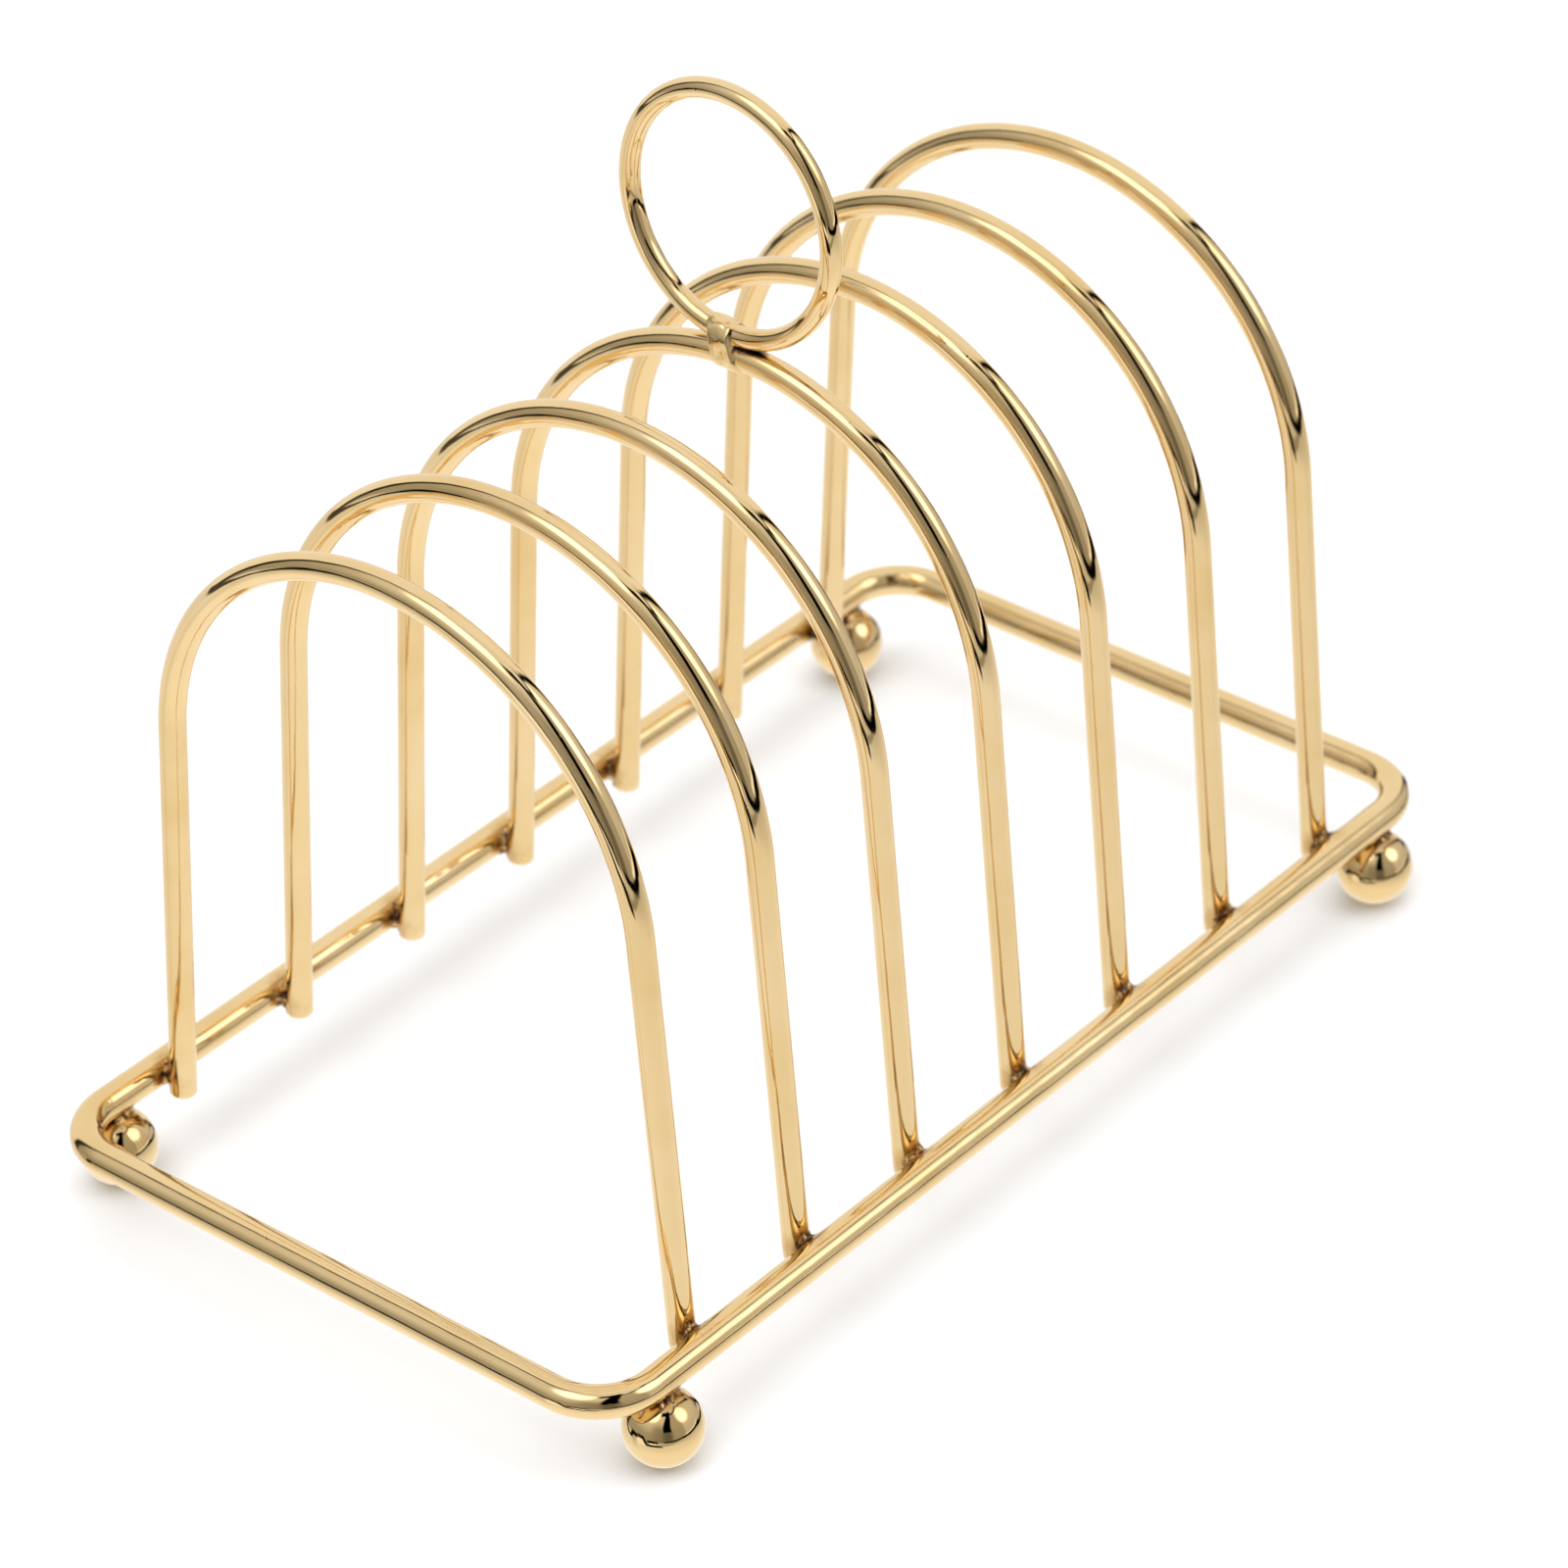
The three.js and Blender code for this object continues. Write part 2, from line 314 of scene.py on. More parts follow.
def sweep(name, centres, radius, side, end_rounding=None):
    """A round wire along centres, which lie in one plane whose normal is side. It is a closed loop
    unless its ends have a rounding."""
    centres = np.asarray(centres, float)
    side = unit(np.asarray(side, float))
    closed = end_rounding is None
    if closed:
        tangents = unit(np.roll(centres, -1, 0) - np.roll(centres, 1, 0))
        radii = np.full(len(centres), radius)
    else:
        tangents = unit(np.gradient(centres, axis=0))
        centres, tangents, radii = with_rounded_ends(centres, tangents, radius, end_rounding)
    steps = np.linalg.norm(np.diff(centres, axis=0), axis=1)
    along = np.concatenate([[0], np.cumsum(steps)])
    angles = np.arange(WIRE_SIDES) * 2 * math.pi / WIRE_SIDES
    across = np.cross(tangents, side)
    ring = np.cos(angles)[:, None] * side + np.sin(angles)[:, None] * across[:, None, :]
    vertices = (centres[:, None, :] + radii[:, None, None] * ring).reshape(-1, 3)
    unrolled = np.broadcast_arrays(radius * np.cos(angles), radius * np.sin(angles), along[:, None])
    wire = np.stack(unrolled, -1).reshape(-1, 3)
    count = len(centres)
    faces = []
    for i in range(count if closed else count - 1):
        for j in range(WIRE_SIDES):
            a, b = i * WIRE_SIDES, (i + 1) % count * WIRE_SIDES
            k = (j + 1) % WIRE_SIDES
            faces.append((a + j, a + k, b + k, b + j))
    ends = () if closed else (0, count - 1)
    for end in ends:
        hub = len(vertices)
        vertices = np.vstack([vertices, centres[end]])
        wire = np.vstack([wire, (0, 0, along[end])])
        for j in range(WIRE_SIDES):
            k = (j + 1) % WIRE_SIDES
            faces.append((hub, end * WIRE_SIDES + j, end * WIRE_SIDES + k))
    piece = mesh_object(name, vertices, faces)
    add_vectors(piece.data, "wire", wire)
    return piece


def points_on_line(start, end):
    """Evenly spaced points from start up to, but not at, end."""
    start, end = np.asarray(start, float), np.asarray(end, float)
    count = max(1, round(np.linalg.norm(end - start) / STEP_LENGTH))
    share = np.arange(count)[:, None] / count
    return start + (end - start) * share


def points_on_arc(centre, radius, first, last, place):
    """Points on an arc between two angles; place turns (cos, sin) offsets into a 3-D point."""
    count = max(LEAST_ARC_STEPS, round(radius * abs(last - first) / ARC_STEP_LENGTH))
    angles = first + (last - first) * np.arange(count) / count
    return np.array([place(centre, radius * math.cos(a), radius * math.sin(a)) for a in angles])


def base_points():
    corner_x = base_end_x - BASE_CORNER_RADIUS
    corner_y = rail_y - BASE_CORNER_RADIUS
    corners = [(corner_x, corner_y), (-corner_x, corner_y), (-corner_x, -corner_y), (corner_x, -corner_y)]

    def place(centre, dx, dy):
        return (centre[0] + dx, centre[1] + dy, rail_z)

    parts = []
    for number, corner in enumerate(corners):
        following = corners[(number + 1) % len(corners)]
        first = number * math.pi / 2
        last = first + math.pi / 2
        dx, dy = BASE_CORNER_RADIUS * math.cos(last), BASE_CORNER_RADIUS * math.sin(last)
        parts.append(points_on_arc(corner, BASE_CORNER_RADIUS, first, last, place))
        parts.append(points_on_line(place(corner, dx, dy), place(following, dx, dy)))
    return np.vstack(parts)


def arch_points(x):
    def place(centre, dy, dz):
        return (x, dy, centre + dz)

    feet = [(x, side * leg_y(leg_end_z), leg_end_z) for side in SIDES.values()]
    first, last = leg_tilt, math.pi - leg_tilt
    shoulders = [
        place(arch_centre_z, ARCH_TOP_RADIUS * math.cos(a), ARCH_TOP_RADIUS * math.sin(a))
        for a in (first, last)
    ]
    return np.vstack([
        points_on_line(feet[0], shoulders[0]),
        points_on_arc(arch_centre_z, ARCH_TOP_RADIUS, first, last, place),
        points_on_line(shoulders[1], feet[1]),
        feet[1],
    ])


def handle_points():
    count = round(2 * math.pi * HANDLE_RADIUS / ARC_STEP_LENGTH)
    angles = np.arange(count) * 2 * math.pi / count
    return [
        handle_centre + handle_turned @ Vector((0, math.cos(a), math.sin(a))) * HANDLE_RADIUS
        for a in angles
    ]


# Balls.

def lathe_ball(name, centre, radius, floor_z):
    """A ball whose lowest point is ground to a small flat on the floor, with a soft edge round it."""
    edge_angle = math.acos((centre.z - floor_z) / radius)
    flat_radius = radius * math.sin(edge_angle)
    profile = [(max(flat_radius - BALL_FLAT_ROUNDING, 0), floor_z)]
    first = edge_angle + BALL_FLAT_ROUNDING / radius
    for ring in range(BALL_RINGS):
        angle = first + (math.pi - first) * ring / BALL_RINGS
        profile.append((radius * math.sin(angle), centre.z - radius * math.cos(angle)))
    vertices = []
    for across, z in profile:
        for side in range(BALL_SIDES):
            turn = 2 * math.pi * side / BALL_SIDES
            vertices.append((centre.x + across * math.cos(turn), centre.y + across * math.sin(turn), z))
    faces = []
    for ring in range(len(profile) - 1):
        for side in range(BALL_SIDES):
            a = ring * BALL_SIDES + side
            b = ring * BALL_SIDES + (side + 1) % BALL_SIDES
            faces.append((a, b, b + BALL_SIDES, a + BALL_SIDES))
    bottom, top = len(vertices), len(vertices) + 1
    vertices.append((centre.x, centre.y, floor_z))
    vertices.append((centre.x, centre.y, centre.z + radius))
    last_ring = (len(profile) - 1) * BALL_SIDES
    for side in range(BALL_SIDES):
        following = (side + 1) % BALL_SIDES
        faces.append((bottom, following, side))
        faces.append((top, last_ring + side, last_ring + following))
    return mesh_object(name, vertices, faces)


# Welds.

X_AXIS = np.array([1.0, 0, 0])


def distance_to_rod(points, start, direction, radius):
    """Distance from a rod's surface; the rod goes both ways without end."""
    offset = points - start
    along = offset @ direction
    return np.linalg.norm(offset - along[..., None] * direction, axis=-1) - radius


def distance_to_leg(points, foot, direction, radius):
    """Distance from a rod that starts flat at its foot and goes up along direction."""
    below = (foot - points) @ direction
    return np.maximum(distance_to_rod(points, foot, direction, radius), below)


def distance_to_ring(points, centre, normal, ring_radius, wire_radius):
    offset = points - centre
    height = offset @ normal
    flat = np.linalg.norm(offset - height[..., None] * normal, axis=-1)
    return np.hypot(flat - ring_radius, height) - wire_radius


def distance_to_handle(points):
    centre, normal = np.array(handle_centre), np.array(handle_normal)
    return distance_to_ring(points, centre, normal, HANDLE_RADIUS, HANDLE_WIRE_RADIUS)


def distance_to_middle_arch(points):
    """Distance from the round top of the arch that carries the ring."""
    centre = np.array([box_centre(middle_arch).x, 0, arch_centre_z])
    return distance_to_ring(points, centre, X_AXIS, ARCH_TOP_RADIUS, arch_radius)


def blended(first, second, width):
    """The smaller of two distances, with a fillet of the given width between them."""
    share = np.maximum(width - np.abs(first - second), 0) / width
    return np.minimum(first, second) - share * share * width / 4


class Lumps:
    """Smooth seeded noise in space: a sum of waves in random directions."""

    def __init__(self, generator, size):
        directions = unit(generator.normal(size=(LUMP_WAVES, 3)))
        lengths = size * generator.uniform(*LUMP_SPREAD, size=(LUMP_WAVES, 1))
        self.waves = directions * 2 * math.pi / lengths
        self.phases = generator.uniform(0, 2 * math.pi, size=LUMP_WAVES)

    def at(self, points):
        waves = np.sin(points @ self.waves.T + self.phases)
        return waves.sum(-1) / math.sqrt(LUMP_WAVES / 2)


def blob(name, centre, reach, detail, height):
    """A closed lump round centre. Along each direction its surface is where height(points) turns
    from below zero to above it, or at the reach."""
    work = bmesh.new()
    bmesh.ops.create_icosphere(work, subdivisions=detail, radius=1.0)
    directions = unit(np.array([v.co for v in work.verts], float))
    distances = np.linspace(0, reach, MARCH_STEPS + 1)[1:]
    outside = height(centre + directions[:, None, :] * distances[:, None]) > 0
    found = outside.any(1)
    first = np.where(found, outside.argmax(1), MARCH_STEPS - 1)
    far = distances[first]
    near = np.where(first > 0, distances[np.maximum(first - 1, 0)], 0)
    for _ in range(BISECTIONS):
        half = (near + far) / 2
        out = height(centre + directions * half[:, None]) > 0
        far = np.where(out & found, half, far)
        near = np.where(out | ~found, near, half)
    for vertex, place in zip(work.verts, centre + directions * far[:, None]):
        vertex.co = place
    mesh = bpy.data.meshes.new(name)
    work.to_mesh(mesh)
    work.free()
    return smooth_object(name, mesh)


def leg_weld(name, x, side, generator):
    up = np.array([0, -side * math.sin(leg_tilt), math.cos(leg_tilt)])
    outward = np.array([0, side * math.cos(leg_tilt), math.sin(leg_tilt)])
    rail = np.array([x, side * rail_y, rail_z])
    foot = np.array([x, side * leg_y(leg_end_z), leg_end_z])
    contact = rail - outward * (base_radius + TOUCH_GAP / 2)
    coarse = Lumps(generator, LEG_SKIN.lump_size)
    fine = Lumps(generator, LEG_SKIN.crinkle_size)

    def height(points):
        to_rail = distance_to_rod(points, rail, X_AXIS, base_radius)
        to_leg = distance_to_leg(points, foot, up, arch_radius)
        width = LEG_FILLET * (1 + LEG_SKIN.unevenness * coarse.at(points))
        return blended(to_rail, to_leg, width) + WELD_SINK + LEG_SKIN.crinkle_height * fine.at(points)

    return blob(name, contact, LEG_REACH, WELD_DETAIL, height)


def foot_weld(name, middle, side, generator):
    rail = np.array([middle.x, side * rail_y, rail_z])
    contact = rail - np.array([0, 0, base_radius])
    middle = np.array(middle)
    coarse = Lumps(generator, BALL_SKIN.lump_size)
    fine = Lumps(generator, BALL_SKIN.crinkle_size)

    def height(points):
        to_rail = distance_to_rod(points, rail, X_AXIS, base_radius)
        to_ball = np.linalg.norm(points - middle, axis=-1) - BALL_RADIUS
        width = BALL_FILLET * (1 + BALL_SKIN.unevenness * coarse.at(points))
        return blended(to_rail, to_ball, width) + WELD_SINK + BALL_SKIN.crinkle_height * fine.at(points)

    return blob(name, contact, BALL_REACH, WELD_DETAIL, height)


def handle_weld(name, generator):
    place = np.array(box_centre("weld_handle"))
    coarse = Lumps(generator, HANDLE_SKIN.lump_size)
    fine = Lumps(generator, HANDLE_SKIN.crinkle_size)
    top = handle_low.z + 2 * HANDLE_WIRE_RADIUS + HANDLE_COAT
    dents = [np.array([place[0] + dx, place[1] + dy, top]) for dx, dy in DENT_PLACES]

    def height(points):
        middle = place[1] + SADDLE_LEAN * (points[..., 2] - place[2])
        edge = np.abs(points[..., 1] - middle) / SADDLE_HALF_WIDTH
        edge = edge * (1 + SADDLE_EDGE_WAVE * coarse.at(points))
        past_shoulder = np.clip(edge - SADDLE_SHOULDER, 0, None) / (1 - SADDLE_SHOULDER)
        fillet = np.maximum(HANDLE_FILLET * (1 - past_shoulder ** 2), LEAST_FILLET)
        both = blended(distance_to_handle(points), distance_to_middle_arch(points), fillet)
        uneven = HANDLE_SKIN.unevenness * coarse.at(points)
        coat = HANDLE_COAT * (1 + uneven - SADDLE_EDGE_DROP * past_shoulder ** 2)
        for dent in dents:
            away = np.linalg.norm(points - dent, axis=-1) / DENT_SIZE
            coat = coat - DENT_DEPTH * np.exp(-(away ** 2))
        return both - coat + HANDLE_SKIN.crinkle_height * fine.at(points)

    return blob(name, place, HANDLE_REACH, HANDLE_WELD_DETAIL, height)


# Shader nodes.

# Sockets of the Mix node, which has its own for numbers and for colours.
MIX_SHARE = 0
NUMBER_A, NUMBER_B, NUMBER_OUT = 2, 3, 0
COLOUR_A, COLOUR_B, COLOUR_OUT = 6, 7, 2


def node(tree, kind, inputs=None, **settings):
    """A new node. Each input is a value, or the output of another node."""
    made = tree.nodes.new("ShaderNode" + kind)
    for name, value in settings.items():
        setattr(made, name, value)
    for name, value in (inputs or {}).items():
        if isinstance(value, bpy.types.NodeSocket):
            tree.links.new(value, made.inputs[name])
        else:
            made.inputs[name].default_value = value
    return made


def maths(tree, operation, *values):
    return node(tree, "Math", dict(enumerate(values)), operation=operation).outputs[0]


def ramp(tree, value, low, high, low_to=0.0, high_to=1.0, smooth=True):
    """value mapped from low..high to low_to..high_to and held outside that."""
    style = "SMOOTHSTEP" if smooth else "LINEAR"
    inputs = {"Value": value, "From Min": low, "From Max": high, "To Min": low_to, "To Max": high_to}
    return node(tree, "MapRange", inputs, interpolation_type=style).outputs[0]


def blend_values(tree, share, first, second):
    """A number between first and second."""
    inputs = {MIX_SHARE: share, NUMBER_A: first, NUMBER_B: second}
    return node(tree, "Mix", inputs, data_type="FLOAT").outputs[NUMBER_OUT]


def blend_colours(tree, share, first, second):
    """A colour between first and second."""
    inputs = {MIX_SHARE: share}
    for socket, colour in ((COLOUR_A, first), (COLOUR_B, second)):
        inputs[socket] = (*colour, 1.0) if isinstance(colour, tuple) else colour
    return node(tree, "Mix", inputs, data_type="RGBA").outputs[COLOUR_OUT]


def noise(tree, vector, scale, detail=3.0, roughness=0.5):
    inputs = {"Vector": vector, "Scale": scale, "Detail": detail, "Roughness": roughness}
    return node(tree, "TexNoise", inputs).outputs[0]


def distance_to_spots(tree, vector, scale):
    """Distance from the nearest of many scattered points, in spacings."""
    inputs = {"Vector": vector, "Scale": scale}
    return node(tree, "TexVoronoi", inputs, feature="F1").outputs["Distance"]


def bumped(tree, heights):
    """A normal from (height, strength, distance) in turn."""
    inputs = {}
    for height, strength, distance in heights:
        inputs.update({"Height": height, "Strength": strength, "Distance": distance})
        inputs["Normal"] = node(tree, "Bump", inputs).outputs[0]
    return inputs["Normal"]


def new_material(name):
    """A material with an empty tree, and where in the object each point lies."""
    material = bpy.data.materials.new(name)
    material.use_nodes = True
    tree = material.node_tree
    tree.nodes.clear()
    return material, tree, node(tree, "TexCoord").outputs["Object"]


def finish_surface(tree, **inputs):
    shader = node(tree, "BsdfPrincipled", {name.replace("_", " "): v for name, v in inputs.items()})
    node(tree, "OutputMaterial", {"Surface": shader.outputs[0]})


# Materials.

def gold_colour(tree, places):
    """Plated gold that drifts a little between paler and deeper patches."""
    patches = noise(tree, places, GOLD_PATCHES)
    pale = blend_colours(tree, ramp(tree, patches, *PALE_PATCHES), GOLD, PALE_GOLD)
    return blend_colours(tree, ramp(tree, patches, *DEEP_PATCHES), pale, DEEP_GOLD)


def tinted_colour(tree, colour, tint_level):
    """The colour with the tints that a weld's heat leaves: straw, then brown, then purple. The same tints
    paint the shade in the crevice beside the saddle weld.
    """
    straw = blend_colours(tree, ramp(tree, tint_level, *STRAW_AT), colour, STRAW_OXIDE)
    brown = blend_colours(tree, ramp(tree, tint_level, *BROWN_AT), straw, BROWN_OXIDE)
    return blend_colours(tree, ramp(tree, tint_level, *PURPLE_AT), brown, PURPLE_OXIDE_AND_SHADE)


def finish_stained_and_shaded(tree, places, roughness, stain_roughness, normal):
    """Plated gold, tinted and dulled where the piece is stained, and darkened as painted shade in a
    crevice.
    """
    tint_level = node(tree, "Attribute", attribute_name=STAIN_AND_SHADE).outputs["Fac"]
    mottle = noise(tree, places, STAIN_MOTTLE)
    shift = maths(tree, "MULTIPLY_ADD", mottle, STAIN_UNEVENNESS, -STAIN_UNEVENNESS / 2)
    colour = tinted_colour(tree, gold_colour(tree, places), maths(tree, "ADD", tint_level, shift))
    roughness = maths(tree, "MULTIPLY_ADD", ramp(tree, tint_level, *DULLED_AT), stain_roughness, roughness)
    finish_surface(tree, Base_Color=colour, Metallic=1.0, Roughness=roughness, Normal=normal)


def wire_material():
    """Bright drawn and plated wire: hair-fine lines along it, faint waves and a few pits."""
    material, tree, places = new_material("plated_wire")
    wire = node(tree, "Attribute", attribute_name="wire").outputs["Vector"]
    stretched = node(tree, "Mapping", {"Vector": wire, "Scale": (1.0, 1.0, LINE_STRETCH)}).outputs[0]
    lines = noise(tree, stretched, DRAWING_LINES, detail=2.0)
    waves = noise(tree, places, WIRE_WAVES, detail=1.0)
    pit = ramp(tree, distance_to_spots(tree, places, WIRE_PITS), *WIRE_PIT_EDGES)
    roughness = maths(tree, "MULTIPLY_ADD", lines, LINE_ROUGHNESS, WIRE_ROUGHNESS)
    reliefs = [(waves, *WIRE_WAVE_RELIEF), (lines, *LINE_RELIEF), (pit, *WIRE_PIT_RELIEF)]
    finish_stained_and_shaded(tree, places, roughness, WIRE_STAIN_ROUGHNESS, bumped(tree, reliefs))
    return material


def ball_material():
    """Polished and plated balls with faint waves and scuffs."""
    material, tree, places = new_material("plated_ball")
    waves = noise(tree, places, BALL_WAVES, detail=1.0)
    scuffs = noise(tree, places, BALL_SCUFFS, detail=4.0)
    scuffed = ramp(tree, scuffs, *SCUFF_EDGES)
    roughness = maths(tree, "MULTIPLY_ADD", scuffed, SCUFF_ROUGHNESS, BALL_ROUGHNESS)
    reliefs = [(waves, *BALL_WAVE_RELIEF), (scuffs, *SCUFF_RELIEF)]
    finish_stained_and_shaded(tree, places, roughness, BALL_STAIN_ROUGHNESS, bumped(tree, reliefs))
    return material


def bead_material():
    """The small weld beads: crinkled, browned and purpled by heat in patches, with gold between them."""
    material, tree, places = new_material("scorched_bead")
    crinkles = noise(tree, places, BEAD_CRINKLES, detail=5.0, roughness=0.65)
    tint_level = ramp(tree, noise(tree, places, BEAD_TINTS), *BEAD_TINT_RANGE, *BEAD_STAINS)
    colour = tinted_colour(tree, gold_colour(tree, places), tint_level)
    roughness = ramp(tree, crinkles, *NOISE_RANGE, *BEAD_ROUGHNESS)
    normal = bumped(tree, [(crinkles, *CRINKLE_RELIEF)])
    finish_surface(tree, Base_Color=colour, Metallic=1.0, Roughness=roughness, Normal=normal)
    return material


def saddle_material():
    """The big weld under the ring: plated gold over a lumpy surface with a few dark pits."""
    material, tree, places = new_material("plated_saddle")
    lumps = noise(tree, places, SADDLE_LUMPS, detail=2.0)
    pits = distance_to_spots(tree, places, SADDLE_PITS)
    pit = ramp(tree, pits, *SADDLE_PIT_EDGES)
    darkening = ramp(tree, pits, *SADDLE_SOOT_EDGES, high_to=SADDLE_SOOT)
    colour = tinted_colour(tree, gold_colour(tree, places), darkening)
    roughness = ramp(tree, lumps, *NOISE_RANGE, *SADDLE_ROUGHNESS)
    normal = bumped(tree, [(lumps, *LUMP_RELIEF), (pit, *SADDLE_PIT_RELIEF)])
    finish_surface(tree, Base_Color=colour, Metallic=1.0, Roughness=roughness, Normal=normal)
    return material


# Putting the rack together.

def place_piece(piece, cad_node, material):
    piece.data.materials.append(material)
    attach(piece, "root")
    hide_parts(cad_node)


def add_welds():
    generator = np.random.default_rng(SEED)
    bead = bead_material()
    for arch in arch_names:
        for side_name, side in SIDES.items():
            piece = leg_weld(f"bead_{arch}_{side_name}", box_centre(arch).x, side, generator)
            place_piece(piece, f"weld_{arch}_{side_name}", bead)
    for ball in ball_names:
        corner = ball.removeprefix("foot_ball_")
        centre = ball_centre(ball)
        piece = foot_weld(f"bead_foot_{corner}", centre, math.copysign(1, centre.y), generator)
        place_piece(piece, f"weld_foot_{corner}", bead)
    saddle = handle_weld("saddle_handle", generator)
    place_piece(saddle, "weld_handle", saddle_material())


def hot_spots():
    """The middles of the small welds."""
    legs = [
        (box_centre(arch).x, side * (rail_y - base_radius), rail_z)
        for arch in arch_names
        for side in SIDES.values()
    ]
    feet = [(*ball_centre(ball).xy, rail_z - base_radius) for ball in ball_names]
    return np.array(legs + feet)


def add_stain_and_shade(piece, distance_to_neighbour=None):
    """How stained each vertex is: 1 in the middle of a small weld, 0 away from it. Painted shade in the
    same value also darkens the crevice towards a neighbour, on the right of the saddle weld."""
    points = np.array([v.co for v in piece.data.vertices])
    tint_level = np.zeros(len(points))
    for spot in hot_spots():
        away = np.linalg.norm(points - spot, axis=1)
        tint_level = np.maximum(tint_level, np.exp(-((away / STAIN_RADIUS) ** 2)))
    if distance_to_neighbour:
        # Painted shade: the crevice towards the neighbour is darkened like the darkest weld stain, on the
        # right of the saddle weld only.
        gap = np.maximum(distance_to_neighbour(points), 0)
        darkening = np.exp(-((gap / CREVICE_SHADE_REACH) ** CREVICE_SHADE_SHARPNESS))
        tint_level = np.maximum(tint_level, np.where(points[:, 1] < box_centre("weld_handle").y, darkening, 0))
    add_values(piece.data, STAIN_AND_SHADE, tint_level)


def add_wires():
    material = wire_material()
    base = sweep("base_wire", base_points(), base_radius, (0, 0, 1))
    add_stain_and_shade(base)
    place_piece(base, "base_frame", material)
    for arch in arch_names:
        points = arch_points(box_centre(arch).x)
        piece = sweep(f"wire_{arch}", points, arch_radius, X_AXIS, LEG_END_ROUNDING)
        # The middle arch gets painted shade in its crevice with the ring.
        add_stain_and_shade(piece, distance_to_handle if arch == middle_arch else None)
        place_piece(piece, arch, material)
    ring = sweep("wire_handle_ring", handle_points(), HANDLE_WIRE_RADIUS, handle_normal)
    # The ring gets painted shade in its crevice with the middle arch.
    add_stain_and_shade(ring, distance_to_middle_arch)
    place_piece(ring, "handle_ring", material)


def add_balls():
    material = ball_material()
    for ball in ball_names:
        piece = lathe_ball(f"smooth_{ball}", ball_centre(ball), BALL_RADIUS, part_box(ball)[0].z)
        add_stain_and_shade(piece)
        place_piece(piece, ball, material)


# Studio. Directions are told from the camera's side: azimuth 0 looks towards the camera from the
# rack, positive to the right in the picture.

to_camera = Vector((math.sin(CAMERA_AZIMUTH), -math.cos(CAMERA_AZIMUTH), 0))
to_right = Vector((math.cos(CAMERA_AZIMUTH), math.sin(CAMERA_AZIMUTH), 0))


class Patch(NamedTuple):
    """A soft-edged patch of the studio, in degrees. Its brightness runs from foot to top. Its middle
    azimuth is for elevation 0, and shifts by slant times the elevation plus bend times its square."""

    azimuth: float
    half_width: float
    low: float
    high: float
    side_edge: float
    end_edge: float
    foot: float
    top: float
    slant: float = 0.0
    bend: float = 0.0
    rounded: bool = False


# Walls, softboxes and black frames of the studio; later patches cover earlier ones.
STUDIO = {
    "right_wall": Patch(104, 44, -12, 62, 6, 5, 0.56, 0.95),
    "between_boxes": Patch(43, 18, -12, 60, 4, 5, 0.38, 0.52),
    "right_softbox": Patch(81, 22, 25, 59, 8, 3, 2.3, 2.3, rounded=True),
    "left_glow": Patch(-62, 34, 10, 46, 14, 8, 0.46, 0.92),
    "left_softbox": Patch(-52, 38, 42, 88, 10, 3, 2.3, 2.3, rounded=True),
    "ceiling": Patch(0, 180, 72, 90, 20, 2, 0.95, 0.82),
    "left_backdrop": Patch(202, 40, -60, 90, 2, 6, 1.03, 1.0),
    "right_backdrop": Patch(187, 40, -60, 90, 3, 6, 1.03, 1.0, slant=-0.49),
    "camera_shade": Patch(-10, 18, -60, 34, 18, 10, 0.20, 0.33),
    "camera_side_dark": Patch(12, 13, -60, 20, 8, 3, 0.16, 0.16),
    "black_column": Patch(22.7, 12.5, 19, 68, 3, 2, 0.0, 0.0, slant=-0.777, bend=0.014),
    "black_top_frame": Patch(22, 27, 62, 72, 6, 1.5, 0.0, 0.0),
    "top_frame": Patch(74, 31, 59.5, 63.5, 5, 1.0, 0.0, 0.0),
    "right_frame_corner": Patch(182, 3.5, 49, 61, 1.5, 1.5, 0.0, 0.0, slant=-1.35),
    "right_frame": Patch(147, 2.8, -16, 52, 1.2, 2, 0.0, 0.0, slant=-0.38, bend=-0.0045),
    "right_frame_foot": Patch(141, 7, -20, 0, 5, 6, 0.03, 0.10, slant=-0.49),
    "left_frame": Patch(-115, 5.5, -14, 80, 2.5, 4, 0.0, 0.12),
    "left_frame_foot": Patch(-115, 5, -10, 0, 2, 3, 0.02, 0.10),
}
WALL_BRIGHTNESS, WALL_TOP = 0.41, 8
CEILING_BRIGHTNESS, CEILING_START = 0.95, 78
BACKGROUND_BRIGHTNESS = 0.97
# What is darker than a brightness of about 0.5 is a little warmer too.
DARK_WARMTH = (1.04, 1.0, 0.90)
WARM_BELOW, NEUTRAL_ABOVE = 0.2, 0.7

# The table in reflections: from its far edge down, and straight below.
TABLE_EDGE, TABLE_NEAR, TABLE_NADIR = -9, -26, -50
TABLE_EDGE_SOFTNESS = 1.5
TABLE_EDGE_BRIGHTNESS, TABLE_BRIGHTNESS, NADIR_BRIGHTNESS = 0.62, 0.96, 1.12
TABLE_SHADES = {
    "right": Patch(96, 34, -36, -8, 12, 5, 1.08, 0.6),
    "behind": Patch(200, 66, -30, 0, 4, 4, 1.0, 0.80),
    "left": Patch(-60, 15, -25, -5, 5, 2, 1.1, 1.25),
    "left_far": Patch(-80, 8, -42, -10, 5, 3, 1.02, 0.5),
}
